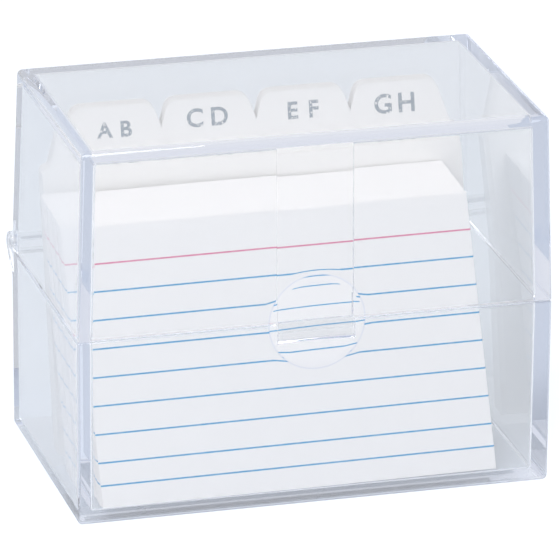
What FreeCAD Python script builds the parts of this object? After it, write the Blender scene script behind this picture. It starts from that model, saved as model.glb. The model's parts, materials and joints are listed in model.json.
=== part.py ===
import FreeCAD, Part

import math
import os

from FreeCAD import Vector

# Clear index card box with a hinged lid, lined cards and a lettered register.
# Lengths are millimetres, angles are degrees.
# X is the width, Y runs from front to back and Z is up.
# The origin is the centre of the base's underside.

# Lined cards
card_width = 74.0
card_height = 50.5
card_thickness = 0.155
card_gap = 0.01
pack_gap = 0.03
cards_in_pack = 7
pack_count = 12
front_lean_angle = 23.8
last_card_lean_angle = 21.1

# Register dividers
divider_count = 12
divider_width = 77.2
divider_thickness = 0.2
divider_gap = 0.03
divider_rise = 2.0
divider_corner_radius = 1.5
tab_height = 9.0
tab_places = 4
tab_shoulder = 1.3
tab_root_width = 20.6
tab_top_width = 15.0
tab_top_radius = 2.6
tab_root_radius = 1.6
arc_room_share = 0.45
register_gap = 0.3
register_lean_angle = 13.9
rear_lean_angle = 12.6

# Room round the paper
side_play = 2.8
register_shift = 0.2
card_shift = 2.0
lined_yaw_angle = 0.9
toe_play = 0.3
rear_play = 2.45
foot_clearance = 0.08
headroom = 4.02

# Box mouldings
side_wall = 2.6
face_wall = 2.4
floor_thickness = 2.1
top_thickness = 2.4
base_height = 35.0
parting_gap = 0.1
base_draft = 0.1
lid_draft = 1.0
outer_corner_radius = 0.45
rim_edge_radius = 0.35
top_edge_radius = 1.2
foot_edge_radius = 1.1
inner_corner_radius = 0.6
inner_end_radius = 0.5

# Hinge
knuckle_radius = 1.8
knuckle_length = 8.0
knuckle_wall_play = 0.4
knuckle_side_play = 0.2
web_rise = 2.0
ear_radius = 2.3
ear_thickness = 2.4
ear_skin = 0.7
ear_gusset = 5.0
ear_edge_radius = 0.3
lid_relief = 0.3
pin_radius = 1.0
pin_play = 0.06
pin_end_play = 0.1

# Clasp and thumb dish
band_width = 14.2
band_recess = 0.8
band_top_recess = 0.3
tongue_drop = 3.6
tongue_thickness = 1.55
tongue_inset = 0.05
tongue_lead = 0.3
tongue_root = 0.5
catch_drop = 2.0
catch_step = 0.15
clasp_play = 0.12
dish_radius = 8.9
dish_depth = 0.95

# Shared allowance for cuts that run past a face
overrun = 1.0


# Counts and heights of the sheets
lined_count = 1 + cards_in_pack * pack_count
divider_height = card_height + divider_rise
register_height = divider_height + tab_height
tab_pitch = (divider_width - 2 * tab_shoulder - tab_root_width) / (tab_places - 1)

# Places of the sheets across the box
register_middle = register_shift
lined_middle = -card_shift

# The lined cards stand a little askew, their left ends nearer the front
yaw_swing = card_width / 2 * math.sin(math.radians(lined_yaw_angle))
front_toe = toe_play + yaw_swing


def sheet_form(index):
    """Stance and size of one sheet, counted from the front."""
    if index < lined_count:
        share = index / (lined_count - 1)
        lean = front_lean_angle + (last_card_lean_angle - front_lean_angle) * share
        return {
            "lean": lean, "yaw": lined_yaw_angle, "middle": lined_middle,
            "thickness": card_thickness, "height": card_height}
    share = (index - lined_count) / (divider_count - 1)
    lean = register_lean_angle + (rear_lean_angle - register_lean_angle) * share
    return {
        "lean": lean, "yaw": 0, "middle": register_middle,
        "thickness": divider_thickness, "height": register_height}


def gap_before(index):
    """Air between one sheet and the top edge of the sheet in front of it."""
    if index > lined_count:
        return divider_gap
    if index == lined_count:
        return register_gap + yaw_swing
    if (index - 1) % cards_in_pack == 0:
        return pack_gap
    return card_gap


def floor_step(before, gap, lean):
    """Distance along the floor to a sheet that closes on the one before it at the top."""
    closing = math.radians(before["lean"] - lean)
    spread = max(0, before["height"] * math.sin(closing)) + before["thickness"] * math.cos(closing) + gap
    return spread / math.cos(math.radians(lean))


def fan_of_sheets():
    """Every sheet's form and its distance behind the front sheet, from front to back."""
    sheets = [dict(sheet_form(0), distance=0)]
    for index in range(1, lined_count + divider_count):
        before = sheets[-1]
        form = sheet_form(index)
        distance = before["distance"] + floor_step(before, gap_before(index), form["lean"])
        sheets.append(dict(form, distance=distance))
    return sheets


sheets = fan_of_sheets()

# Sizes of the box that follow from the paper in it
stack_depth = sheets[-1]["distance"]
rear_reach = register_height * math.sin(math.radians(sheets[-1]["lean"])) + divider_thickness
inner_width = divider_width + 2 * side_play
inner_depth = front_toe + stack_depth + rear_reach + rear_play
inner_height = foot_clearance + register_height + headroom
box_width = inner_width + 2 * side_wall
box_depth = inner_depth + 2 * face_wall
box_height = floor_thickness + inner_height + top_thickness
lid_foot = base_height + parting_gap

# Places that the hinge and the clasp share
back_face = box_depth / 2
front_face = -box_depth / 2
hinge_y = back_face + knuckle_radius + knuckle_wall_play
hinge_z = base_height
ear_inner = box_width / 2 - ear_thickness
knuckle_outer = ear_inner - knuckle_side_play
socket_depth = ear_thickness - ear_skin
tongue_face = front_face + tongue_inset
tongue_foot = lid_foot - tongue_drop
catch_level = lid_foot - catch_drop


def drafted_block(low_width, low_depth, low_z, high_width, high_depth, high_z):
    """Block with four flat drafted sides, centred on the box."""
    block = Part.makeWedge(
        -low_width / 2, low_z, -low_depth / 2, -high_depth / 2, -high_width / 2,
        low_width / 2, high_z, low_depth / 2, high_depth / 2, high_width / 2)
    block.rotate(Vector(0, 0, 0), Vector(1, 0, 0), 90)
    return block


def upright_edges(shape):
    """Edges that run along most of the shape's height."""
    least = shape.BoundBox.ZLength / 2
    return [edge for edge in shape.Edges if edge.BoundBox.ZLength > least]


def level_edges(shape, z):
    """Edges that lie flat at one height."""
    fuzz = shape.BoundBox.ZLength / 1000
    found = []
    for edge in shape.Edges:
        box = edge.BoundBox
        if abs(box.ZMin - z) < fuzz and abs(box.ZMax - z) < fuzz:
            found.append(edge)
    return found


def profile_along_x(points, x_low, x_high):
    """Prism with its outline in the YZ plane."""
    corners = [Vector(x_low, y, z) for y, z in points]
    outline = Part.makePolygon(corners + corners[:1])
    return Part.Face(outline).extrude(Vector(x_high - x_low, 0, 0))


def rod_along_x(radius, x_low, x_high):
    """Cylinder on the hinge axis."""
    foot = Vector(x_low, hinge_y, hinge_z)
    return Part.makeCylinder(radius, x_high - x_low, foot, Vector(1, 0, 0))


def both_sides(shape):
    """The shape and its mirror image across the middle of the box."""
    return [shape, shape.mirror(Vector(0, 0, 0), Vector(1, 0, 0))]


def thumb_dish():
    """Shallow round hollow, centred on the parting line of the front."""
    ball_radius = (dish_radius ** 2 + dish_depth ** 2) / (2 * dish_depth)
    centre = Vector(0, front_face + dish_depth - ball_radius, lid_foot)
    return Part.makeSphere(ball_radius, centre)


def hinge_ear():
    """Right-hand ear: a round eye behind the rear corner, with a gusset down the back."""
    root_y = back_face - face_wall
    foot_z = base_height - ear_gusset
    gap_y = hinge_y - back_face
    reach = math.hypot(gap_y, ear_gusset)
    turn = math.atan2(ear_gusset, gap_y) - math.asin(ear_radius / reach)
    run = math.sqrt(reach ** 2 - ear_radius ** 2)
    touch = Vector(ear_inner, back_face + run * math.cos(turn), foot_z + run * math.sin(turn))
    foot = Vector(ear_inner, back_face, foot_z)
    low_root = Vector(ear_inner, root_y, foot_z)
    crown = Vector(ear_inner, hinge_y, hinge_z + ear_radius)
    front = Vector(ear_inner, hinge_y - ear_radius, hinge_z)
    high_root = Vector(ear_inner, root_y, hinge_z)
    outline = Part.Wire([
        Part.LineSegment(low_root, foot).toShape(),
        Part.LineSegment(foot, touch).toShape(),
        Part.Arc(touch, crown, front).toShape(),
        Part.LineSegment(front, high_root).toShape(),
        Part.LineSegment(high_root, low_root).toShape(),
    ])
    ear = Part.Face(outline).extrude(Vector(ear_thickness, 0, 0))
    rims = []
    for edge in ear.Edges:
        box = edge.BoundBox
        round_rim = box.XLength < ear_edge_radius and box.YMax > hinge_y and box.ZMax > hinge_z
        if round_rim:
            rims.append(edge)
    return ear.makeFillet(ear_edge_radius, rims)


def make_base_tray():
    """Lower half of the box."""
    low_width = box_width - 2 * base_draft
    low_depth = box_depth - 2 * base_draft
    body = drafted_block(low_width, low_depth, 0, box_width, box_depth, base_height)
    body = body.makeFillet(foot_edge_radius, level_edges(body, 0))
    body = body.makeFillet(outer_corner_radius, upright_edges(body))
    body = body.makeFillet(rim_edge_radius, level_edges(body, base_height))
    hollow = drafted_block(
        low_width - 2 * side_wall, low_depth - 2 * face_wall, floor_thickness,
        inner_width, inner_depth, base_height)
    hollow = hollow.makeFillet(inner_corner_radius, upright_edges(hollow))
    hollow = hollow.makeFillet(inner_end_radius, level_edges(hollow, floor_thickness))
    body = body.cut(hollow)

    body = body.fuse(both_sides(hinge_ear()))
    socket = rod_along_x(pin_radius + pin_play, ear_inner - overrun, ear_inner + socket_depth)
    for hole in both_sides(socket):
        body = body.cut(hole)

    # The seat for the tongue leaves a ridge that the catch snaps under
    seat_half = band_width / 2 + clasp_play
    ridge_y = tongue_face + tongue_thickness - catch_step + clasp_play
    deep_y = tongue_face + tongue_thickness + clasp_play
    ridge_z = catch_level + clasp_play
    seat = profile_along_x([
        (front_face - overrun, tongue_foot - clasp_play),
        (deep_y, tongue_foot - clasp_play),
        (deep_y, ridge_z),
        (ridge_y, ridge_z),
        (ridge_y, base_height + overrun),
        (front_face - overrun, base_height + overrun),
    ], -seat_half, seat_half)
    return body.cut(seat).cut(thumb_dish()).removeSplitter()


def make_lid():
    """Upper half of the box, modelled closed."""
    high_width = box_width - 2 * lid_draft
    high_depth = box_depth - 2 * lid_draft
    body = drafted_block(box_width, box_depth, lid_foot, high_width, high_depth, box_height)
    body = body.makeFillet(top_edge_radius, level_edges(body, box_height))
    body = body.makeFillet(outer_corner_radius, upright_edges(body))
    body = body.makeFillet(rim_edge_radius, level_edges(body, lid_foot))
    ceiling = box_height - top_thickness
    drawn_in = lid_draft * (ceiling - lid_foot) / (box_height - lid_foot)
    ceiling_depth = inner_depth - 2 * drawn_in
    hollow = drafted_block(
        inner_width, inner_depth, lid_foot,
        inner_width - 2 * drawn_in, ceiling_depth, ceiling)
    hollow = hollow.makeFillet(inner_corner_radius, upright_edges(hollow))
    hollow = hollow.makeFillet(inner_end_radius, level_edges(hollow, ceiling))
    body = body.cut(hollow)

    # The band behind the clasp thins towards the parting line, so that it can flex
    open_y = -inner_depth / 2
    ceiling_y = -ceiling_depth / 2
    band = profile_along_x([
        (ceiling_y - band_top_recess, ceiling),
        (open_y - band_recess, lid_foot),
        (open_y + inner_end_radius, lid_foot),
        (ceiling_y + inner_end_radius, ceiling),
    ], -band_width / 2, band_width / 2)
    body = body.cut(band)

    inner_face = tongue_face + tongue_thickness
    tongue = profile_along_x([
        (tongue_face, lid_foot + tongue_root),
        (tongue_face, tongue_foot),
        (inner_face - tongue_lead, tongue_foot),
        (inner_face, tongue_foot + tongue_lead),
        (inner_face, catch_level),
        (inner_face - catch_step, catch_level),
        (inner_face - catch_step, lid_foot + tongue_root),
    ], -band_width / 2, band_width / 2)
    body = body.fuse(tongue)

    relief = rod_along_x(ear_radius + lid_relief, knuckle_outer, box_width / 2 + overrun)
    for hollow_corner in both_sides(relief):
        body = body.cut(hollow_corner)
    knuckle = rod_along_x(knuckle_radius, knuckle_outer - knuckle_length, knuckle_outer)
    web_root = back_face - face_wall / 2
    web = profile_along_x([
        (web_root, lid_foot),
        (hinge_y, lid_foot),
        (hinge_y, hinge_z + knuckle_radius),
        (web_root, hinge_z + knuckle_radius + web_rise),
    ], knuckle_outer - knuckle_length, knuckle_outer)
    pin_end = ear_inner + socket_depth - pin_end_play
    pin = rod_along_x(pin_radius, knuckle_outer - knuckle_length / 2, pin_end)
    hinge_half = knuckle.fuse([web, pin])
    body = body.fuse(both_sides(hinge_half))
    return body.cut(thumb_dish()).removeSplitter()


def sheet_origin(sheet):
    """Middle of the lower front edge of a sheet that stands on the floor of the box."""
    y = -inner_depth / 2 + front_toe + sheet["distance"]
    heel_drop = sheet["thickness"] * math.sin(math.radians(sheet["lean"]))
    return Vector(sheet["middle"], y, floor_thickness + foot_clearance + heel_drop)


def stand_up(sheet_solid, sheet):
    """Lean the flat sheet back, turn it and set it in the box."""
    solid = sheet_solid.copy()
    solid.rotate(Vector(0, 0, 0), Vector(1, 0, 0), -sheet["lean"])
    solid.rotate(Vector(0, 0, 0), Vector(0, 0, 1), sheet["yaw"])
    solid.translate(sheet_origin(sheet))
    return solid


def flat_card():
    """Plain card, upright, its lower front edge centred on the origin."""
    corner = Vector(-card_width / 2, 0, 0)
    return Part.makeBox(card_width, card_thickness, card_height, corner)


def rounded_corner(before, corner, after, radius):
    """Start, middle and end of the arc at a corner, as large as the edges beside it allow."""
    back = before - corner
    onward = after - corner
    half_turn = (math.pi - back.getAngle(onward)) / 2
    room = min(back.Length, onward.Length) * arc_room_share
    run = min(radius * math.tan(half_turn), room)
    rise = run / math.sin(half_turn) - run / math.tan(half_turn)
    inward = back.normalize() + onward.normalize()
    return corner + back * run, corner + inward.normalize() * rise, corner + onward * run


def rounded_sheet(corners, radii, thickness):
    """Upright sheet of this outline; a corner with no radius stays square."""
    turns = []
    for place, corner in enumerate(corners):
        if radii[place] > 0:
            after = corners[(place + 1) % len(corners)]
            turns.append(rounded_corner(corners[place - 1], corner, after, radii[place]))
        else:
            turns.append((corner, corner))
    edges = []
    for place, turn in enumerate(turns):
        if len(turn) > 2:
            edges.append(Part.Arc(*turn).toShape())
        following = turns[(place + 1) % len(turns)]
        edges.append(Part.LineSegment(turn[-1], following[0]).toShape())
    return Part.Face(Part.Wire(edges)).extrude(Vector(0, thickness, 0))


def flat_divider(place):
    """Card with one tapered tab on its upper edge, at one of the places across it."""
    half = divider_width / 2
    root_left = -half + tab_shoulder + tab_pitch * place
    root_right = root_left + tab_root_width
    slope = (tab_root_width - tab_top_width) / 2
    outline = [
        (-half, 0, 0),
        (half, 0, 0),
        (half, divider_height, divider_corner_radius),
        (root_right, divider_height, tab_root_radius),
        (root_right - slope, register_height, tab_top_radius),
        (root_left + slope, register_height, tab_top_radius),
        (root_left, divider_height, tab_root_radius),
        (-half, divider_height, divider_corner_radius),
    ]
    corners = [Vector(x, 0, z) for x, z, radius in outline]
    radii = [radius for x, z, radius in outline]
    return rounded_sheet(corners, radii, divider_thickness)


def write_node(name, solids):
    """One STEP file for each named piece, or group of like pieces."""
    for solid in solids:
        if not solid.isValid():
            raise ValueError(name + " is not a valid solid")
    shape = solids[0] if len(solids) == 1 else Part.makeCompound(solids)
    shape.exportStep(os.path.join("parts", name + ".step"))
    print(name, len(shape.Solids), "solids", round(shape.Volume, 3), "mm3")


def main():
    os.makedirs("parts", exist_ok=True)
    write_node("base_tray", [make_base_tray()])
    write_node("lid", [make_lid()])

    card = flat_card()
    write_node("front_card", [stand_up(card, sheets[0])])
    for pack in range(pack_count):
        first = 1 + pack * cards_in_pack
        cards = []
        for sheet in sheets[first:first + cards_in_pack]:
            cards.append(stand_up(card, sheet))
        write_node("card_pack_%02d" % (pack + 1), cards)

    for number, sheet in enumerate(sheets[lined_count:]):
        divider = flat_divider(number % tab_places)
        write_node("divider_%02d" % (number + 1), [stand_up(divider, sheet)])

    print("box", round(box_width, 2), round(box_depth, 2), round(box_height, 2))
    print("hinge axis at", round(hinge_y, 3), round(hinge_z, 3))


main()
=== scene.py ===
import json
import math

import bmesh
import bpy
from bpy.props import FloatProperty, FloatVectorProperty, IntProperty, PointerProperty, StringProperty
from bpy.types import Operator, Panel, PropertyGroup
from mathutils import Matrix, Vector

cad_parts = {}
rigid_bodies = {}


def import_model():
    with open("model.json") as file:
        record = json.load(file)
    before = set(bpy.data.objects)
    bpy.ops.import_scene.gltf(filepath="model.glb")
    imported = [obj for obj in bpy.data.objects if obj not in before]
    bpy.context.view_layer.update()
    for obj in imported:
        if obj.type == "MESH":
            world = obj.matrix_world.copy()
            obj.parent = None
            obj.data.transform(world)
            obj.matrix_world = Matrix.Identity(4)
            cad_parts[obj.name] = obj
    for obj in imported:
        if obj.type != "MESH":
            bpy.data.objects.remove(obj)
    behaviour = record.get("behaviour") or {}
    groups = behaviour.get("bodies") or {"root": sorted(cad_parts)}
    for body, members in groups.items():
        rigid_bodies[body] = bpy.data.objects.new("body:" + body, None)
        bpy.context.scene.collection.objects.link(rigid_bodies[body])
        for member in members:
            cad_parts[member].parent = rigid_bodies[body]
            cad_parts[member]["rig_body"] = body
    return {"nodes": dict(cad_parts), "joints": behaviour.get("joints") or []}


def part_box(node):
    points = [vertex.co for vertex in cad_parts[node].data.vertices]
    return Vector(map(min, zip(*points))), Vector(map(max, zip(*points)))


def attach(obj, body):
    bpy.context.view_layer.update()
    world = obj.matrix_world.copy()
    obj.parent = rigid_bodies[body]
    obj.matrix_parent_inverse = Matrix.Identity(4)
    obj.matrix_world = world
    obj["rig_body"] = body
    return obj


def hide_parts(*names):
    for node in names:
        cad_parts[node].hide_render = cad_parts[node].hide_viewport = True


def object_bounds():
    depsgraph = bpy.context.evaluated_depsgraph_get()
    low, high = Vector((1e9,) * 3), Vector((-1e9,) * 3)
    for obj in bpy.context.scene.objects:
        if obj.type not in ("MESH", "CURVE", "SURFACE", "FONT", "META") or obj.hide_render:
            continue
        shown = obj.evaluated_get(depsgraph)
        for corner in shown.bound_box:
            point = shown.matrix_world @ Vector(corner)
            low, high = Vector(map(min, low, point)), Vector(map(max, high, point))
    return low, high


bl_info = {
    "name": "Clear Index Card Box",
    "version": (1, 0, 0),
    "blender": (4, 5, 0),
    "location": "3D View > Sidebar > Card Box",
    "description": "Dresses a clear hinged card box, its ruled cards and its lettered dividers",
    "category": "Object",
}

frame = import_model()
CAD_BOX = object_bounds()
NODES = frame["nodes"]
JOINTS = {joint["child"]: joint for joint in frame["joints"]}
PACKS = sorted(name for name in NODES if name.startswith("card_pack"))
DIVIDERS = sorted(name for name in NODES if name.startswith("divider"))
MM = 0.001

# Scale and detail of each noise
STRAY_GRAIN = (1500.0, 0.0)
PRINT_GRAIN = (900.0, 2.0)
FINE_FIBRE = (2600.0, 4.0)
BROAD_FIBRE = (260.0, 3.0)
HANDLING_MARKS = (420.0, 5.0)
FLOW_WAVES = (55.0, 1.0)
INK_SPECKS = (2300.0, 2.0)

# Ink: blur of a line's sides, noise limits and the ink they take away on cut edges, and pressure of the print
LINE_BLUR = 0.25
STRAY_LIMITS = (0.60, 0.66)
STRAY_LEVELS = (0.94, 0.35)
PRINT_SWING = 0.5
PRINT_LEAST = 0.72
SPECK_LIMITS = (0.56, 0.70)
INK_ROUGHNESS = 0.55

# Paper: darker share of the mottling, gloss, and strength and depth of the tooth
MOTTLE = 0.965
PAPER_SPECULAR = 0.35
CARD_ROUGHNESS = 0.62
BOARD_ROUGHNESS = 0.5
TOOTH = (0.12, 0.02 * MM)

# Plastic: how handling marks add roughness, and strength and depth of the flow waves
MARK_POWER = 4.0
MARK_ROUGHNESS = 0.06
WAVES = (0.03, 0.06 * MM)

# Shares of the rim's width where its painted shade line ends and is full, and dish depths that the dish's
# masks reach back
RIM_BLUR = (0.8, 0.3)
LINE_REACH = 0.5
INSIDE_REACH = 4

# Share of a face's normal along an axis past which the face looks that way
FACING = 0.7
BROAD_FACING = 0.5

# Reading the CAD meshes
MERGE = 0.001 * MM
BROAD_SHARE = 0.25
CORNER_SHARE = 0.97
TAB_EDGE = 0.05 * MM

# Normals of the polished shells
FLAT_ANGLE = math.radians(0.5)
SMOOTH_ANGLE = math.radians(40)
WALL_WIDTH = 0.75 * MM
BALL_FUZZ = 0.02 * MM
TINY = 1e-9

# Letters
LETTER_MERGE = 0.0005 * MM
LETTER_STEPS = 6
TRIAL_RELIEF = 0.01

# Studio
WHITE = (1.0, 1.0, 1.0)
BACKDROP_DIRECTION = (-0.3, 0.6)
GLOW_PLACES = (-120 * MM, -30 * MM)
FLOOR_REACH = 3.0
SENSOR_WIDTH = 36
CLIP_START = 0.05
CLIP_END = 20
LAMP_AIM = (0, 0, 30 * MM)
KEY_PLACE = (-0.50, -0.45, 0.95)
KEY_SIZE = 0.8
GLINT_PLACE = (-0.15, -0.50, 0.95)
GLINT_SIZE = 0.6


# Settings

def colour(name, default, note):
    """Colour property in the scene's linear colours."""
    return FloatVectorProperty(
        name=name, description=note, default=default, subtype="COLOR", min=0, max=1)


def length(name, millimetres, note):
    """Length property, in metres."""
    return FloatProperty(
        name=name, description=note, default=millimetres * MM, unit="LENGTH", precision=5)


def plain(name, default, note):
    """Number with no unit."""
    return FloatProperty(name=name, description=note, default=default)


class PlasticSettings(PropertyGroup):
    ior: plain("Refractive index", 1.59, "Polystyrene bends light this much")
    base: colour("Base colour", (0.88, 0.886, 0.886), "What a look through one wall keeps")
    thin: colour("Thin colour", (0.905, 0.91, 0.912), "What a look through the wall in the dish keeps")
    # Painted shade: the rim colour, over the rim width, darkens a ring that stands in for the light the
    # dish's rim bends away
    rim: colour("Rim colour", (0.72, 0.76, 0.86), "Line along the rim of the thumb dish")
    rim_width: length("Rim width", 0.26, "Width of the line along the rim of the thumb dish")
    rim_swell: length("Rim swell", 1.5, "How far from the dish's rim the wall starts to swell")
    rim_slope: plain("Rim slope", 0.062, "How steeply it swells at the rim")
    depth_colour: colour("Depth colour", (0.27, 0.37, 0.68), "Colour seen along the inside of a wall")
    depth_density: plain("Depth density", 4.3, "How fast the depth colour builds up, per metre")
    turns: plain("Turns", 2.5, "Reflections inside a wall after which light leaves it")
    shade: colour("Shade colour", (0.992, 0.995, 1.0), "What lamps keep when they pass a face of a wall")
    polish: plain("Polish", 0.012, "Least roughness of the moulded faces")
    dish_radius: length("Dish radius", 8.9, "Radius of the thumb dish's rim")
    dish_depth: length("Dish depth", 0.95, "Depth of the thumb dish at its middle")


class PaperSettings(PropertyGroup):
    card: colour("Card colour", (0.925, 0.912, 0.915), "Lined cards")
    board: colour("Divider colour", (0.925, 0.912, 0.905), "Tabbed dividers")
    blue: colour("Blue ruling", (0.06, 0.36, 0.66), "Ink of the eight blue lines")
    red: colour("Red ruling", (0.72, 0.20, 0.35), "Ink of the head line")
    line_width: length("Line width", 0.3, "Width of a ruled line")
    line_pitch: length("Line pitch", 5.1, "From one blue line to the next")
    low_line: length("Lowest line", 4.1, "From the card's foot to the lowest blue line")
    second_line: length("Second line", 8.2, "From the card's foot to the second blue line")
    even_lines: IntProperty(
        name="Even lines", description="Blue lines at the even pitch, from the second one up",
        default=7, min=1)
    head_line: length("Head line", 43.8, "From the card's foot to the red line")
    jog: length("Jog", 0.16, "How far cards in a pack stick out unevenly at the sides")


class LetterSettings(PropertyGroup):
    names: StringProperty(
        name="Tabs", description="Letters on each tab, front to back, between spaces",
        default="AB CD EF GH IJ KL MN OP QR ST UV W-Z")
    heights: FloatVectorProperty(
        name="Heights", description="Height of the capitals at each place of the row, left to right",
        default=(2.95 * MM, 3.4 * MM, 3.2 * MM, 3.6 * MM), size=4, unit="LENGTH", precision=5)
    drops: FloatVectorProperty(
        name="Drops", description="From the tab's top edge down to the letters' middle, left to right",
        default=(4.4 * MM, 3.6 * MM, 3.8 * MM, 4.1 * MM), size=4, unit="LENGTH", precision=5)
    pitches: FloatVectorProperty(
        name="Pitches", description="From the middle of one letter to the next, left to right",
        default=(4.05 * MM, 4.65 * MM, 4.0 * MM, 4.5 * MM), size=4, unit="LENGTH", precision=5)
    shifts: FloatVectorProperty(
        name="Shifts", description="How far the letters stand to the right of the middle, left to right",
        default=(0.35 * MM, -0.25 * MM, 0.05 * MM, -0.4 * MM), size=4, unit="LENGTH", precision=5)
    weight: length("Weight", 0.10, "How far the strokes are thickened on each side")
    relief: length("Relief", 0.012, "Thickness of the printed ink")
    ink: colour("Ink", (0.15, 0.205, 0.26), "Grey-blue printing ink")


class StudioSettings(PropertyGroup):
    lens: FloatProperty(name="Lens", description="Focal length in millimetres", default=404.06)
    distance: length("Distance", 1145.585, "From the camera to its target")
    target: FloatVectorProperty(
        name="Target", description="Point the camera looks at", subtype="XYZ", unit="LENGTH",
        default=(0.194 * MM, 0.0, 33.795 * MM))
    yaw: plain("Yaw", 15.572, "Degrees to the left of straight in front")
    pitch: plain("Pitch", 20.444, "Degrees above the horizon")
    roll: plain("Roll", 0.453, "Degrees that the camera is turned about its own axis")
    floor: colour("Floor", (0.50, 0.54, 0.61), "Floor under the box")
    floor_lift: plain("Floor lift", 0.50, "Glow that brings the lit floor up to the white surround")
    # Under the box and Shade blur set a painted shadow: the floor's glow is cut in the box's footprint and
    # fades over that width at its foot
    under: plain("Under the box", 0.3, "How much of that glow the box keeps from the floor under it")
    painted_shadow_blur: length("Shade blur", 4.0, "Width over which that shade fades at the box's foot")
    near_glow: plain("Glow in front", 0.6, "Share of the glow that the walls show of the floor in front")
    far_glow: plain("Glow behind", 0.82, "Share of the glow that the walls show of the floor behind")
    glossy_glow: plain("Glow mirrored", 0.4, "Further share of the glow in a mirror image")
    ambient: plain("Ambient", 1.05, "Level of the room's light")
    mirrored: colour("Mirrored room", (0.50, 0.56, 0.76), "Room in front of the box, as its walls show it")
    least_mirrored: plain("Least mirrored", 0.25, "Least share of that room in a mirror image")
    key: plain("Key lamp", 6.8, "Power of the large lamp above the camera, in watts")
    glint: plain("Glint lamp", 6.0, "Power of the lamp that only the rounded edges mirror, in watts")


# Shader node helpers

def new_tree(name):
    """Material with an empty node tree and an output."""
    material = bpy.data.materials.new(name)
    material.use_nodes = True
    tree = material.node_tree
    tree.nodes.clear()
    output = tree.nodes.new("ShaderNodeOutputMaterial")
    return material, tree, output


def new_group(name, inputs, outputs):
    """Shader node group with float or vector sockets."""
    tree = bpy.data.node_groups.new(name, "ShaderNodeTree")
    for label, kind in inputs:
        tree.interface.new_socket(label, in_out="INPUT", socket_type=kind)
    for label, kind in outputs:
        tree.interface.new_socket(label, in_out="OUTPUT", socket_type=kind)
    return tree, tree.nodes.new("NodeGroupInput"), tree.nodes.new("NodeGroupOutput")


def place_group(tree, group):
    """Copy of a shared group in a material."""
    node = tree.nodes.new("ShaderNodeGroup")
    node.node_tree = group
    return node


def maths(tree, operation, first, second=None, third=None):
    """Math node; each input is a socket or a number. Gives its output."""
    node = tree.nodes.new("ShaderNodeMath")
    node.operation = operation
    for socket, value in zip(node.inputs, (first, second, third)):
        if value is None:
            continue
        if isinstance(value, (int, float)):
            socket.default_value = value
        else:
            tree.links.new(value, socket)
    return node.outputs[0]


def ramp(tree, value, limits, levels=(0.0, 1.0), smooth=True):
    """Map Range node from two limits to two levels. Gives its output."""
    node = tree.nodes.new("ShaderNodeMapRange")
    if smooth:
        node.interpolation_type = "SMOOTHSTEP"
    for label, number in zip(("From Min", "From Max", "To Min", "To Max"), (*limits, *levels)):
        node.inputs[label].default_value = number
    tree.links.new(value, node.inputs["Value"])
    return node.outputs[0]


def split(tree, vector):
    """Outputs X, Y and Z of a vector."""
    node = tree.nodes.new("ShaderNodeSeparateXYZ")
    tree.links.new(vector, node.inputs[0])
    return node.outputs


def bump(tree, height, strength, distance, normal=None):
    """Normal that a height bends, over another normal if one is given."""
    node = tree.nodes.new("ShaderNodeBump")
    node.inputs["Strength"].default_value = strength
    node.inputs["Distance"].default_value = distance
    tree.links.new(height, node.inputs["Height"])
    if normal is not None:
        tree.links.new(normal, node.inputs["Normal"])
    return node.outputs[0]


def mix_shaders(tree, factor, first, second):
    """Shader mix; each input is a socket. Gives its output."""
    node = tree.nodes.new("ShaderNodeMixShader")
    for socket, source in zip(node.inputs, (factor, first, second)):
        tree.links.new(source, socket)
    return node.outputs[0]


def noise(tree, coordinates, scale, detail):
    """Noise value with its middle at one half."""
    node = tree.nodes.new("ShaderNodeTexNoise")
    node.inputs["Scale"].default_value = scale
    node.inputs["Detail"].default_value = detail
    tree.links.new(coordinates, node.inputs["Vector"])
    return node.outputs["Fac"]


def mix_colours(tree, factor, first, second):
    """Colour mix; each colour is a socket or a plain colour."""
    node = tree.nodes.new("ShaderNodeMix")
    node.data_type = "RGBA"
    tree.links.new(factor, node.inputs[0])
    for socket, value in ((node.inputs[6], first), (node.inputs[7], second)):
        if isinstance(value, bpy.types.NodeSocket):
            tree.links.new(value, socket)
        else:
            socket.default_value = (*value, 1.0)
    return node.outputs[2]


def object_coordinates(tree):
    """Place on the piece, in metres."""
    return tree.nodes.new("ShaderNodeTexCoord").outputs["Object"]


# Shared shader groups

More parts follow.
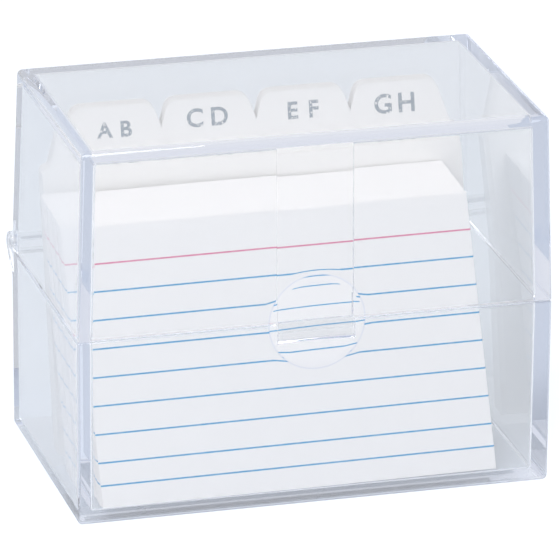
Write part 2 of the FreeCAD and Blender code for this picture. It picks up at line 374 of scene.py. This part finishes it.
def ruling_group(settings):
    """Masks of the printed lines, from the height above the foot of a leaning card."""
    tree, enter, leave = new_group(
        "Ruling",
        [("Position", "NodeSocketVector"), ("Normal", "NodeSocketVector"),
         ("Foot Height", "NodeSocketFloat"), ("Lean Cosine", "NodeSocketFloat")],
        [("Red", "NodeSocketFloat"), ("Blue", "NodeSocketFloat")])
    place = enter.outputs["Position"]
    rise = maths(tree, "SUBTRACT", split(tree, place)["Z"], enter.outputs["Foot Height"])
    along = maths(tree, "DIVIDE", rise, enter.outputs["Lean Cosine"])
    half = settings.line_width / 2

    def line_at(distance):
        return ramp(tree, distance, (half * (1 + LINE_BLUR), half * (1 - LINE_BLUR)))

    def apart(level):
        return maths(tree, "ABSOLUTE", maths(tree, "SUBTRACT", along, level))

    steps = maths(tree, "SUBTRACT", along, settings.second_line)
    steps = maths(tree, "DIVIDE", steps, settings.line_pitch)
    nearest = maths(tree, "MAXIMUM", maths(tree, "ROUND", steps), 0)
    nearest = maths(tree, "MINIMUM", nearest, settings.even_lines - 1)
    even = maths(tree, "ABSOLUTE", maths(tree, "SUBTRACT", steps, nearest))
    even = maths(tree, "MULTIPLY", even, settings.line_pitch)
    blue = maths(tree, "MAXIMUM", line_at(even), line_at(apart(settings.low_line)))
    red = line_at(apart(settings.head_line))

    # Ink sits on the faces and marks the cut edge of only a few cards
    facing = split(tree, enter.outputs["Normal"])
    edge = maths(tree, "GREATER_THAN", maths(tree, "ABSOLUTE", facing["X"]), FACING)
    stray = ramp(tree, noise(tree, place, *STRAY_GRAIN), STRAY_LIMITS, STRAY_LEVELS, smooth=False)
    keep = maths(tree, "SUBTRACT", 1.0, maths(tree, "MULTIPLY", edge, stray))

    # Pressure of the print varies a little along a line
    strength = maths(tree, "MULTIPLY_ADD", noise(tree, place, *PRINT_GRAIN), PRINT_SWING, PRINT_LEAST)
    strength = maths(tree, "MINIMUM", maths(tree, "MULTIPLY", strength, keep), 1.0)
    for label, mask in (("Red", red), ("Blue", blue)):
        tree.links.new(maths(tree, "MULTIPLY", mask, strength), leave.inputs[label])
    return tree


def fibre_group():
    """Fine mottling and tooth of pressed paper."""
    tree, enter, leave = new_group(
        "Paper Fibre", [("Position", "NodeSocketVector")],
        [("Tone", "NodeSocketFloat"), ("Height", "NodeSocketFloat")])
    fine = noise(tree, enter.outputs["Position"], *FINE_FIBRE)
    broad = noise(tree, enter.outputs["Position"], *BROAD_FIBRE)
    tone = maths(tree, "DIVIDE", maths(tree, "ADD", fine, broad), 2.0)
    tree.links.new(tone, leave.inputs["Tone"])
    tree.links.new(fine, leave.inputs["Height"])
    return tree


def moulding_group():
    """Faint flow waves and handling marks of a polished moulding."""
    tree, enter, leave = new_group(
        "Moulded Face", [("Position", "NodeSocketVector"), ("Least", "NodeSocketFloat")],
        [("Roughness", "NodeSocketFloat"), ("Height", "NodeSocketFloat")])
    marks = noise(tree, enter.outputs["Position"], *HANDLING_MARKS)
    marks = maths(tree, "POWER", marks, MARK_POWER)
    waves = noise(tree, enter.outputs["Position"], *FLOW_WAVES)
    rough = maths(tree, "MULTIPLY_ADD", marks, MARK_ROUGHNESS, enter.outputs["Least"])
    tree.links.new(rough, leave.inputs["Roughness"])
    tree.links.new(waves, leave.inputs["Height"])
    return tree


def shared(name, maker, *details):
    """The node group of that name, built the first time it is asked for."""
    return bpy.data.node_groups.get(name) or maker(*details)


# Materials

def dish_masks(tree, settings):
    """Masks of the painted shade line along the thumb dish's rim and of its inside, and the height of its
    swollen rim.
    """
    parts = split(tree, object_coordinates(tree))
    rise = maths(tree, "SUBTRACT", parts["Z"], parting_height())
    squares = [maths(tree, "POWER", side, 2.0) for side in (parts["X"], rise)]
    radius = maths(tree, "SQRT", maths(tree, "ADD", *squares))
    beyond = maths(tree, "SUBTRACT", radius, settings.dish_radius)
    apart = maths(tree, "ABSOLUTE", beyond)
    # Painted shade: a thin darker ring at the dish's rim, on the front wall only, in place of the light the
    # rim bends
    rim_shade_ring = ramp(tree, apart, [settings.rim_width * share for share in RIM_BLUR])
    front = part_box("base_tray")[0].y
    at_front, near_front = (
        maths(tree, "LESS_THAN", parts["Y"], front + settings.dish_depth * reach)
        for reach in (LINE_REACH, INSIDE_REACH))
    line = maths(tree, "MULTIPLY", rim_shade_ring, at_front)
    inside = maths(tree, "MULTIPLY", maths(tree, "LESS_THAN", beyond, 0.0), near_front)

    # Lines seen through the wall bend outwards at the rim
    within = maths(tree, "MAXIMUM", maths(tree, "SUBTRACT", settings.rim_swell, apart), 0.0)
    steepness = settings.rim_slope / (2 * settings.rim_swell)
    swell = maths(tree, "MULTIPLY", maths(tree, "POWER", within, 2.0), steepness)
    return line, inside, maths(tree, "MULTIPLY", swell, at_front)


def clear_plastic(settings):
    """Crystal polystyrene: bends light, takes colour with depth and lets lamps reach the cards."""
    material, tree, output = new_tree("crystal_polystyrene")
    body = tree.nodes.new("ShaderNodeBsdfPrincipled")
    rim, inside, swell = dish_masks(tree, settings)
    tint = mix_colours(tree, inside, tuple(settings.base), tuple(settings.thin))
    # Painted shade: the rim colour darkens the thin ring along the dish's rim
    tree.links.new(mix_colours(tree, rim, tint, tuple(settings.rim)), body.inputs["Base Color"])
    body.inputs["Metallic"].default_value = 0.0
    body.inputs["IOR"].default_value = settings.ior
    body.inputs["Transmission Weight"].default_value = 1.0
    face = place_group(tree, shared("Moulded Face", moulding_group))
    tree.links.new(object_coordinates(tree), face.inputs["Position"])
    face.inputs["Least"].default_value = settings.polish
    tree.links.new(face.outputs["Roughness"], body.inputs["Roughness"])
    waved = bump(tree, face.outputs["Height"], *WAVES)
    tree.links.new(bump(tree, swell, 1.0, 1.0, waved), body.inputs["Normal"])

    # Shadows and bounced light pass the walls, and light leaves them after a few turns
    rays = tree.nodes.new("ShaderNodeLightPath")
    passing = maths(tree, "MAXIMUM", rays.outputs["Is Shadow Ray"], rays.outputs["Is Diffuse Ray"])
    trapped = maths(tree, "GREATER_THAN", rays.outputs["Glossy Depth"], settings.turns)
    passing = maths(tree, "MAXIMUM", passing, trapped)
    clear = tree.nodes.new("ShaderNodeBsdfTransparent")
    clear.inputs["Color"].default_value = (*settings.shade, 1.0)
    surface = mix_shaders(tree, passing, body.outputs[0], clear.outputs[0])
    tree.links.new(surface, output.inputs["Surface"])

    depth = tree.nodes.new("ShaderNodeVolumeAbsorption")
    depth.inputs["Color"].default_value = (*settings.depth_colour, 1.0)
    depth.inputs["Density"].default_value = settings.depth_density
    tree.links.new(depth.outputs[0], output.inputs["Volume"])
    return material


def paper(name, base, roughness):
    """Matt paper; gives the material, its tree, the socket with its colour and its shader."""
    material, tree, output = new_tree(name)
    body = tree.nodes.new("ShaderNodeBsdfPrincipled")
    body.inputs["Roughness"].default_value = roughness
    body.inputs["Specular IOR Level"].default_value = PAPER_SPECULAR
    fibre = place_group(tree, shared("Paper Fibre", fibre_group))
    tree.links.new(object_coordinates(tree), fibre.inputs["Position"])
    dark = tuple(channel * MOTTLE for channel in base)
    tone = mix_colours(tree, fibre.outputs["Tone"], dark, base)
    tree.links.new(bump(tree, fibre.outputs["Height"], *TOOTH), body.inputs["Normal"])
    tree.links.new(body.outputs[0], output.inputs["Surface"])
    return material, tree, tone, body


def ruled_paper(name, settings, foot_height, lean):
    """Paper with one red and eight blue lines, for a card that leans by this angle."""
    material, tree, tone, body = paper(name, tuple(settings.card), CARD_ROUGHNESS)
    ruling = place_group(tree, shared("Ruling", ruling_group, settings))
    coordinates = tree.nodes.new("ShaderNodeTexCoord")
    tree.links.new(coordinates.outputs["Object"], ruling.inputs["Position"])
    tree.links.new(coordinates.outputs["Normal"], ruling.inputs["Normal"])
    ruling.inputs["Foot Height"].default_value = foot_height
    ruling.inputs["Lean Cosine"].default_value = math.cos(lean)
    lined = mix_colours(tree, ruling.outputs["Blue"], tone, tuple(settings.blue))
    lined = mix_colours(tree, ruling.outputs["Red"], lined, tuple(settings.red))
    tree.links.new(lined, body.inputs["Base Color"])
    return material


def divider_board(settings):
    """Smooth white board."""
    material, tree, tone, body = paper("divider_board", tuple(settings.board), BOARD_ROUGHNESS)
    tree.links.new(tone, body.inputs["Base Color"])
    return material


def letter_ink(settings, board):
    """Thin ink that leaves specks of board bare."""
    material, tree, output = new_tree("index_ink")
    body = tree.nodes.new("ShaderNodeBsdfPrincipled")
    body.inputs["Roughness"].default_value = INK_ROUGHNESS
    specks = noise(tree, object_coordinates(tree), *INK_SPECKS)
    bare = ramp(tree, specks, SPECK_LIMITS, smooth=False)
    tint = mix_colours(tree, bare, tuple(settings.ink), board)
    tree.links.new(tint, body.inputs["Base Color"])
    tree.links.new(body.outputs[0], output.inputs["Surface"])
    return material


def add_object(name, data):
    """New object in the scene."""
    made = bpy.data.objects.new(name, data)
    bpy.context.scene.collection.objects.link(made)
    return made


def only_material(piece, material):
    """Gives the piece this one material."""
    piece.data.materials.clear()
    piece.data.materials.append(material)


# Sheets that lean in the box

def large_face_leans(node):
    """Lean of every broad face of a sheet or pack, in radians from the vertical."""
    mesh = NODES[node].data
    broad = max(face.area for face in mesh.polygons) * BROAD_SHARE
    return sorted(
        math.atan2(abs(face.normal.z), abs(face.normal.y))
        for face in mesh.polygons if face.area > broad and abs(face.normal.y) > abs(face.normal.x))


def sheet_axes(node):
    """Foot point, direction across and direction up a leaning sheet."""
    joint = JOINTS[node]
    foot = Vector(joint["pos_m"])
    across = Vector(joint["axis"]).normalized()
    lean = large_face_leans(node)[-1]
    level_back = Vector((0, 0, 1)).cross(across)
    up = Vector((0, 0, 1)) * math.cos(lean) + level_back * math.sin(lean)
    return foot, across, up, lean


# Polished shells

def flat_regions(bm):
    """Number of the flat region that each face belongs to."""
    region = [-1] * len(bm.faces)
    count = 0
    for seed in bm.faces:
        if region[seed.index] >= 0:
            continue
        region[seed.index] = count
        waiting = [seed]
        while waiting:
            face = waiting.pop()
            for edge in face.edges:
                for other in edge.link_faces:
                    if region[other.index] < 0 and face.normal.angle(other.normal, math.pi) < FLAT_ANGLE:
                        region[other.index] = count
                        waiting.append(other)
        count += 1
    return region, count


def wide_regions(bm, region, count, least):
    """True for each region whose narrow side is wider than a fillet's facet."""
    areas = [0.0] * count
    lows = [Vector((1, 1, 1)) for _ in range(count)]
    highs = [Vector((-1, -1, -1)) for _ in range(count)]
    for face in bm.faces:
        number = region[face.index]
        areas[number] += face.calc_area()
        for vert in face.verts:
            lows[number] = Vector(map(min, lows[number], vert.co))
            highs[number] = Vector(map(max, highs[number], vert.co))
    return [area / max((high - low).length, TINY) > least for area, low, high in zip(areas, lows, highs)]


def moulded_normals(bm, dish_centre, dish_ball):
    """Corner normals: walls stay flat, fillets turn smoothly into them and the dish is a true ball."""
    region, count = flat_regions(bm)
    wide = wide_regions(bm, region, count, WALL_WIDTH)

    def on_ball(face):
        return all(abs((vert.co - dish_centre).length - dish_ball) < BALL_FUZZ for vert in face.verts)

    dished = [on_ball(face) for face in bm.faces]
    normals = []
    for face in bm.faces:
        for vert in face.verts:
            if dished[face.index]:
                normals.append((dish_centre - vert.co).normalized())
                continue
            if wide[region[face.index]]:
                normals.append(face.normal.copy())
                continue
            near = [
                other for other in vert.link_faces
                if not dished[other.index] and face.normal.angle(other.normal, math.pi) < SMOOTH_ANGLE]
            walls = [other.normal for other in near if wide[region[other.index]]]
            if walls:
                normals.append(min(walls, key=face.normal.angle).copy())
                continue
            seen = {region[other.index]: other.normal for other in near}
            normals.append(sum(seen.values(), Vector()).normalized())
    return normals


def polished_shell(node, name, settings):
    """Smooth-edged copy of a moulded CAD shell."""
    mesh = NODES[node].data.copy()
    mesh.name = name
    bm = bmesh.new()
    bm.from_mesh(mesh)
    bmesh.ops.remove_doubles(bm, verts=bm.verts, dist=MERGE)
    bm.faces.ensure_lookup_table()
    bm.normal_update()
    ball = (settings.dish_radius ** 2 + settings.dish_depth ** 2) / (2 * settings.dish_depth)
    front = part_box("base_tray")[0].y
    centre = Vector((0, front + settings.dish_depth - ball, parting_height()))
    normals = moulded_normals(bm, centre, ball)
    bm.to_mesh(mesh)
    bm.free()
    mesh.polygons.foreach_set("use_smooth", [True] * len(mesh.polygons))
    mesh.normals_split_custom_set(normals)
    return add_object(name, mesh)


def parting_height():
    """Level of the lid's rim, read at its front corners."""
    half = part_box("lid")[1].x
    return min(
        vert.co.z for vert in NODES["lid"].data.vertices
        if abs(vert.co.x) > half * CORNER_SHARE and vert.co.y < 0)


def dress_shell(context, node, name):
    """Puts a polished shell in the place of a moulded CAD shell."""
    settings = context.scene.card_box_plastic
    material = bpy.data.materials.get("crystal_polystyrene") or clear_plastic(settings)
    piece = polished_shell(node, name, settings)
    only_material(piece, material)
    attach(piece, NODES[node]["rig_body"])
    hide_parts(node)


class CARDBOX_OT_base_tray(Operator):
    """Polished shell of the lower half"""
    bl_idname = "cardbox.base_tray"
    bl_label = "Base Tray"

    def execute(self, context):
        dress_shell(context, "base_tray", "base_tray_shell")
        return {"FINISHED"}


class CARDBOX_OT_lid(Operator):
    """Polished shell of the lid with its clasp band and hinge pins"""
    bl_idname = "cardbox.lid"
    bl_label = "Lid"

    def execute(self, context):
        dress_shell(context, "lid", "lid_shell")
        return {"FINISHED"}


class CARDBOX_OT_front_card(Operator):
    """Ruled paper on the first card"""
    bl_idname = "cardbox.front_card"
    bl_label = "Front Card"

    def execute(self, context):
        foot, _, _, lean = sheet_axes("front_card")
        material = ruled_paper("ruled_front_card", context.scene.card_box_paper, foot.z, lean)
        only_material(NODES["front_card"], material)
        return {"FINISHED"}


# Card packs

def card_fan_tree():
    """Geometry nodes: a pack of cards, each leaning a little less than the one before."""
    tree = bpy.data.node_groups.new("Card Fan", "GeometryNodeTree")
    for label, kind in (
            ("Count", "NodeSocketInt"), ("Size", "NodeSocketVector"), ("Foot", "NodeSocketVector"),
            ("Foot Step", "NodeSocketFloat"), ("Lean", "NodeSocketFloat"), ("Lean Step", "NodeSocketFloat"),
            ("Yaw", "NodeSocketFloat"), ("Jog", "NodeSocketFloat"), ("Seed", "NodeSocketInt"),
            ("Paper", "NodeSocketMaterial")):
        tree.interface.new_socket(label, in_out="INPUT", socket_type=kind)
    tree.interface.new_socket("Geometry", in_out="OUTPUT", socket_type="NodeSocketGeometry")
    enter = tree.nodes.new("NodeGroupInput")
    leave = tree.nodes.new("NodeGroupOutput")
    link = tree.links.new

    card = tree.nodes.new("GeometryNodeMeshCube")
    link(enter.outputs["Size"], card.inputs["Size"])
    half = tree.nodes.new("ShaderNodeVectorMath")
    half.operation = "MULTIPLY"
    half.inputs[1].default_value = (0.0, 0.5, 0.5)
    link(enter.outputs["Size"], half.inputs[0])
    stood = tree.nodes.new("GeometryNodeTransform")
    link(card.outputs["Mesh"], stood.inputs["Geometry"])
    link(half.outputs[0], stood.inputs["Translation"])

    points = tree.nodes.new("GeometryNodePoints")
    link(enter.outputs["Count"], points.inputs["Count"])
    index = tree.nodes.new("GeometryNodeInputIndex")
    jog = tree.nodes.new("FunctionNodeRandomValue")
    link(enter.outputs["Seed"], jog.inputs["Seed"])
    link(enter.outputs["Jog"], jog.inputs[3])
    link(maths(tree, "MULTIPLY", enter.outputs["Jog"], -1.0), jog.inputs[2])
    back = maths(tree, "MULTIPLY", index.outputs[0], enter.outputs["Foot Step"])
    offset = tree.nodes.new("ShaderNodeCombineXYZ")
    link(jog.outputs[1], offset.inputs["X"])
    link(back, offset.inputs["Y"])
    place = tree.nodes.new("ShaderNodeVectorMath")
    link(enter.outputs["Foot"], place.inputs[0])
    link(offset.outputs[0], place.inputs[1])
    link(place.outputs[0], points.inputs["Position"])

    turn = tree.nodes.new("ShaderNodeCombineXYZ")
    lean = maths(tree, "MULTIPLY_ADD", index.outputs[0], enter.outputs["Lean Step"], enter.outputs["Lean"])
    link(maths(tree, "MULTIPLY", lean, -1.0), turn.inputs["X"])
    link(enter.outputs["Yaw"], turn.inputs["Z"])
    copies = tree.nodes.new("GeometryNodeInstanceOnPoints")
    link(points.outputs[0], copies.inputs["Points"])
    link(stood.outputs[0], copies.inputs["Instance"])
    to_rotation = tree.nodes.new("FunctionNodeEulerToRotation")
    link(turn.outputs[0], to_rotation.inputs[0])
    link(to_rotation.outputs[0], copies.inputs["Rotation"])
    real = tree.nodes.new("GeometryNodeRealizeInstances")
    link(copies.outputs[0], real.inputs[0])
    finish = tree.nodes.new("GeometryNodeSetMaterial")
    link(real.outputs[0], finish.inputs["Geometry"])
    link(enter.outputs["Paper"], finish.inputs["Material"])
    link(finish.outputs[0], leave.inputs["Geometry"])
    return tree


def nodes_to_mesh(name, tree, values):
    """Piece made by a geometry tree, as a plain mesh with no modifier."""
    seed = bpy.data.meshes.new(name + "_seed")
    maker = add_object(name + "_maker", seed)
    modifier = maker.modifiers.new("Tree", "NODES")
    modifier.node_group = tree
    for item in tree.interface.items_tree:
        if item.item_type == "SOCKET" and item.in_out == "INPUT":
            modifier[item.identifier] = values[item.name]
    bpy.context.view_layer.update()
    evaluated = maker.evaluated_get(bpy.context.evaluated_depsgraph_get())
    mesh = bpy.data.meshes.new_from_object(evaluated)
    mesh.name = name
    bpy.data.objects.remove(maker)
    bpy.data.meshes.remove(seed)
    return add_object(name, mesh)


class CARDBOX_OT_card_packs(Operator):
    """Packs of ruled cards that fan out towards the floor"""
    bl_idname = "cardbox.card_packs"
    bl_label = "Card Packs"

    def execute(self, context):
        settings = context.scene.card_box_paper
        tree = card_fan_tree()
        low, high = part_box("front_card")
        _, across, _, lean_first = sheet_axes("front_card")
        yaw = math.atan2(across.y, across.x)
        thickness = sheet_thickness("front_card")
        height = (high.z - low.z - thickness * math.sin(lean_first)) / math.cos(lean_first)
        width = (high.x - low.x - thickness * math.cos(lean_first) * math.sin(yaw)
                 - height * math.sin(lean_first) * math.sin(yaw)) / math.cos(yaw)
        feet = [Vector(JOINTS[node]["pos_m"]) for node in PACKS]
        for number, node in enumerate(PACKS):
            leans = large_face_leans(node)
            count = islands(NODES[node].data)
            step = (leans[0] - leans[-1]) / (count - 1)
            ahead = min(number, len(PACKS) - 2)
            foot_step = (feet[ahead + 1].y - feet[ahead].y) / count
            material = ruled_paper("ruled_" + node, settings, feet[number].z, sum(leans) / len(leans))
            piece = nodes_to_mesh(node + "_sheets", tree, {
                "Count": count, "Size": (width, thickness, height), "Foot": feet[number],
                "Foot Step": foot_step, "Lean": leans[-1], "Lean Step": step, "Yaw": yaw,
                "Jog": settings.jog, "Seed": number, "Paper": material})
            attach(piece, NODES[node]["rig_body"])
            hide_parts(node)
        return {"FINISHED"}


def sheet_thickness(node):
    """Volume over the area of one broad side."""
    mesh = NODES[node].data
    bm = bmesh.new()
    bm.from_mesh(mesh)
    volume = bm.calc_volume()
    broad = sum(face.calc_area() for face in bm.faces if abs(face.normal.y) > BROAD_FACING) / 2
    bm.free()
    return volume / broad


def islands(mesh):
    """How many separate solids the mesh holds."""
    bm = bmesh.new()
    bm.from_mesh(mesh)
    bmesh.ops.remove_doubles(bm, verts=bm.verts, dist=MERGE)
    count = 0
    seen = set()
    for vert in bm.verts:
        if vert in seen:
            continue
        count += 1
        waiting = [vert]
        while waiting:
            current = waiting.pop()
            if current in seen:
                continue
            seen.add(current)
            waiting += [edge.other_vert(current) for edge in current.link_edges]
    bm.free()
    return count


class CARDBOX_OT_dividers(Operator):
    """White board on the tabbed dividers"""
    bl_idname = "cardbox.dividers"
    bl_label = "Dividers"

    def execute(self, context):
        material = divider_board(context.scene.card_box_paper)
        for node in DIVIDERS:
            only_material(NODES[node], material)
        return {"FINISHED"}


# Tab letters

def tab_middle(node):
    """Distance across to the middle of the tab and up to its top edge, on the divider's face."""
    foot, across, up, _ = sheet_axes(node)
    mesh = NODES[node].data
    heights = [(vert.co - foot).dot(up) for vert in mesh.vertices]
    top = max(heights)
    near = [
        (vert.co - foot).dot(across) for vert, height in zip(mesh.vertices, heights)
        if top - height < TAB_EDGE]
    return (min(near) + max(near)) / 2, top


def flat_letter(character, size, relief, weight):
    """Mesh of one capital, flat in XY, centred, with the ink's thickness and bold strokes."""
    curve = bpy.data.curves.new("letter", "FONT")
    curve.body = character
    curve.align_x = "CENTER"
    curve.size = size
    curve.extrude = relief / 2
    curve.offset = weight
    curve.resolution_u = LETTER_STEPS
    made = add_object("letter", curve)
    bpy.context.view_layer.update()
    mesh = bpy.data.meshes.new_from_object(made.evaluated_get(bpy.context.evaluated_depsgraph_get()))
    bpy.data.objects.remove(made)
    bpy.data.curves.remove(curve)
    return mesh


def capital_share():
    """Height of a capital as a share of the font's size."""
    mesh = flat_letter("H", 1.0, TRIAL_RELIEF, 0.0)
    tall = max(vert.co.y for vert in mesh.vertices) - min(vert.co.y for vert in mesh.vertices)
    bpy.data.meshes.remove(mesh)
    return tall


def tab_print(node, text, column, share, settings):
    """Mesh of the letters on one tab, at their place on the divider's face."""
    size = (settings.heights[column] - 2 * settings.weight) / share
    foot, across, up, _ = sheet_axes(node)
    middle, top = tab_middle(node)
    out = across.cross(up)
    low = top - settings.drops[column] - size * share / 2
    bm = bmesh.new()
    for place, character in enumerate(text):
        mesh = flat_letter(character, size, settings.relief, settings.weight)
        outline = [vert.co.x for vert in mesh.vertices]
        shift = middle + settings.shifts[column] - (min(outline) + max(outline)) / 2
        shift += (place - (len(text) - 1) / 2) * settings.pitches[column] * 2 / max(2, len(text))
        origin = foot + across * shift + up * low + out * settings.relief / 2
        mesh.transform(Matrix((
            (across.x, up.x, out.x, origin.x), (across.y, up.y, out.y, origin.y),
            (across.z, up.z, out.z, origin.z), (0, 0, 0, 1))))
        bm.from_mesh(mesh)
        bpy.data.meshes.remove(mesh)
    bmesh.ops.remove_doubles(bm, verts=bm.verts, dist=LETTER_MERGE)
    mesh = bpy.data.meshes.new(node + "_letters")
    bm.to_mesh(mesh)
    bm.free()
    return mesh


class CARDBOX_OT_tab_letters(Operator):
    """Printed letters on the tabs"""
    bl_idname = "cardbox.tab_letters"
    bl_label = "Tab Letters"

    def execute(self, context):
        settings = context.scene.card_box_letters
        material = letter_ink(settings, tuple(context.scene.card_box_paper.board))
        share = capital_share()
        for number, (node, text) in enumerate(zip(DIVIDERS, settings.names.split())):
            column = number % len(settings.heights)
            piece = add_object(node + "_letters", tab_print(node, text, column, share, settings))
            only_material(piece, material)
            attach(piece, NODES[node]["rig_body"])
        return {"FINISHED"}


# Studio

def studio_world(settings):
    """Room light, and a white surround for the camera and for the clear walls."""
    world = bpy.data.worlds.new("pale_studio")
    world.use_nodes = True
    tree = world.node_tree
    tree.nodes.clear()
    output = tree.nodes.new("ShaderNodeOutputWorld")
    rays = tree.nodes.new("ShaderNodeLightPath")
    seen = maths(tree, "MAXIMUM", rays.outputs["Is Camera Ray"], rays.outputs["Is Glossy Ray"])
    seen = maths(tree, "MAXIMUM", seen, rays.outputs["Is Transmission Ray"])
    room = tree.nodes.new("ShaderNodeBackground")
    room.inputs["Strength"].default_value = settings.ambient

    # The white backdrop stands behind the box, and its edges show the darker room in front of it
    direction = split(tree, tree.nodes.new("ShaderNodeTexCoord").outputs["Generated"])
    in_front = ramp(tree, direction["Y"], BACKDROP_DIRECTION, (1.0, 0.0))
    mirrored = maths(tree, "SUBTRACT", in_front, rays.outputs["Is Camera Ray"])
    least = maths(tree, "MULTIPLY", rays.outputs["Is Glossy Ray"], settings.least_mirrored)
    mirrored = maths(tree, "MAXIMUM", mirrored, least)
    surround = tree.nodes.new("ShaderNodeBackground")
    tint = mix_colours(tree, mirrored, WHITE, tuple(settings.mirrored))
    tree.links.new(tint, surround.inputs["Color"])
    shown = mix_shaders(tree, seen, room.outputs[0], surround.outputs[0])
    tree.links.new(shown, output.inputs[0])
    bpy.context.scene.world = world


def painted_box_shadow(tree, parts, blur):
    """Mask of the painted shadow on the floor that the box stands on."""
    low, high = CAD_BOX
    masks = [
        ramp(tree, maths(tree, "ABSOLUTE", parts[axis]), (half, half - blur))
        for axis, half in (("X", (high[0] - low[0]) / 2), ("Y", -low[1]))]
    return maths(tree, "MULTIPLY", *masks)


def studio_floor(settings):
    """Wide pale floor that keeps a soft shadow, partly real and partly painted under the box, and reads as
    white.
    """
    mesh = bpy.data.meshes.new("floor")
    reach = FLOOR_REACH
    corners = [(-reach, -reach, 0), (reach, -reach, 0), (reach, reach, 0), (-reach, reach, 0)]
    mesh.from_pydata(corners, [], [(0, 1, 2, 3)])
    floor = add_object("floor", mesh)
    material, tree, output = new_tree("pale_floor")
    matt = tree.nodes.new("ShaderNodeBsdfDiffuse")
    matt.inputs["Color"].default_value = (*settings.floor, 1.0)
    glow = tree.nodes.new("ShaderNodeEmission")
    rays = tree.nodes.new("ShaderNodeLightPath")

    # The walls show the floor a little greyer than it is, and most of all the floor in front of the box
    parts = split(tree, object_coordinates(tree))
    level = ramp(tree, parts["Y"], GLOW_PLACES, (settings.near_glow, settings.far_glow))
    glossy = maths(tree, "MULTIPLY", rays.outputs["Is Glossy Ray"], settings.glossy_glow)
    shown = maths(tree, "MAXIMUM", rays.outputs["Is Transmission Ray"], glossy)
    shown = maths(tree, "MULTIPLY", shown, level)
    seen = maths(tree, "MAXIMUM", rays.outputs["Is Camera Ray"], shown)
    # Painted shadow: the floor's glow is cut under the box's footprint and fades at its foot
    shade = maths(tree, "MULTIPLY", painted_box_shadow(tree, parts, settings.painted_shadow_blur), settings.under)
    lift = maths(tree, "MULTIPLY", maths(tree, "SUBTRACT", 1.0, shade), settings.floor_lift)
    tree.links.new(maths(tree, "MULTIPLY", seen, lift), glow.inputs["Strength"])
    both = tree.nodes.new("ShaderNodeAddShader")
    tree.links.new(matt.outputs[0], both.inputs[0])
    tree.links.new(glow.outputs[0], both.inputs[1])
    tree.links.new(both.outputs[0], output.inputs["Surface"])
    only_material(floor, material)


def studio_camera(settings):
    """Camera of the photograph's viewpoint."""
    yaw, pitch, roll = (math.radians(value) for value in (settings.yaw, settings.pitch, settings.roll))
    ahead = Vector((math.sin(yaw) * math.cos(pitch), math.cos(yaw) * math.cos(pitch), -math.sin(pitch)))
    right = ahead.cross(Vector((0, 0, 1))).normalized()
    up = right.cross(ahead)
    right, up = (
        right * math.cos(roll) + up * math.sin(roll),
        up * math.cos(roll) - right * math.sin(roll))
    place = Vector(settings.target) - ahead * settings.distance
    data = bpy.data.cameras.new("camera")
    data.sensor_width = SENSOR_WIDTH
    data.lens = settings.lens
    data.clip_start = CLIP_START
    data.clip_end = CLIP_END
    camera = add_object("camera", data)
    camera.matrix_world = Matrix((
        (right.x, up.x, -ahead.x, place.x), (right.y, up.y, -ahead.y, place.y),
        (right.z, up.z, -ahead.z, place.z), (0, 0, 0, 1)))
    bpy.context.scene.camera = camera


def soft_lamp(name, place, aim, size, power):
    """Large square lamp that looks at a point."""
    data = bpy.data.lights.new(name, "AREA")
    data.size = size
    data.energy = power
    lamp = add_object(name, data)
    lamp.location = place
    lamp.rotation_mode = "QUATERNION"
    lamp.rotation_quaternion = (Vector(aim) - Vector(place)).to_track_quat("-Z", "Y")
    return lamp


class CARDBOX_OT_studio(Operator):
    """Floor, lamps, white surround and camera"""
    bl_idname = "cardbox.studio"
    bl_label = "Studio"

    def execute(self, context):
        settings = context.scene.card_box_studio
        studio_world(settings)
        studio_floor(settings)
        studio_camera(settings)
        key = soft_lamp("overhead_softbox", KEY_PLACE, LAMP_AIM, KEY_SIZE, settings.key)
        glint = soft_lamp("edge_glint", GLINT_PLACE, LAMP_AIM, GLINT_SIZE, settings.glint)
        glint.visible_diffuse = False
        glint.visible_transmission = False
        for lamp in (key, glint):
            lamp.visible_camera = False
        context.scene.view_settings.view_transform = "Standard"
        return {"FINISHED"}


class CARDBOX_PT_sidebar(Panel):
    """Lists the settings and the making steps"""
    bl_idname = "CARDBOX_PT_sidebar"
    bl_label = "Card Box"
    bl_space_type = "VIEW_3D"
    bl_region_type = "UI"
    bl_category = "Card Box"

    def draw(self, context):
        scene = context.scene
        for settings in (
                scene.card_box_plastic, scene.card_box_paper, scene.card_box_letters, scene.card_box_studio):
            box = self.layout.box()
            for name in settings.__annotations__:
                box.prop(settings, name)
        for step in STEPS:
            self.layout.operator(step.bl_idname)


SETTINGS = {
    "card_box_plastic": PlasticSettings,
    "card_box_paper": PaperSettings,
    "card_box_letters": LetterSettings,
    "card_box_studio": StudioSettings,
}
STEPS = (
    CARDBOX_OT_base_tray, CARDBOX_OT_lid, CARDBOX_OT_front_card, CARDBOX_OT_card_packs,
    CARDBOX_OT_dividers, CARDBOX_OT_tab_letters, CARDBOX_OT_studio)
CLASSES = (*SETTINGS.values(), *STEPS, CARDBOX_PT_sidebar)


def register():
    for each in CLASSES:
        bpy.utils.register_class(each)
    for name, group in SETTINGS.items():
        setattr(bpy.types.Scene, name, PointerProperty(type=group))


def unregister():
    for name in SETTINGS:
        delattr(bpy.types.Scene, name)
    for each in reversed(CLASSES):
        bpy.utils.unregister_class(each)


def main():
    """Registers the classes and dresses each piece."""
    register()
    bpy.ops.cardbox.base_tray()
    bpy.ops.cardbox.lid()
    bpy.ops.cardbox.front_card()
    bpy.ops.cardbox.card_packs()
    bpy.ops.cardbox.dividers()
    bpy.ops.cardbox.tab_letters()
    bpy.ops.cardbox.studio()


if __name__ == "__main__":
    main()
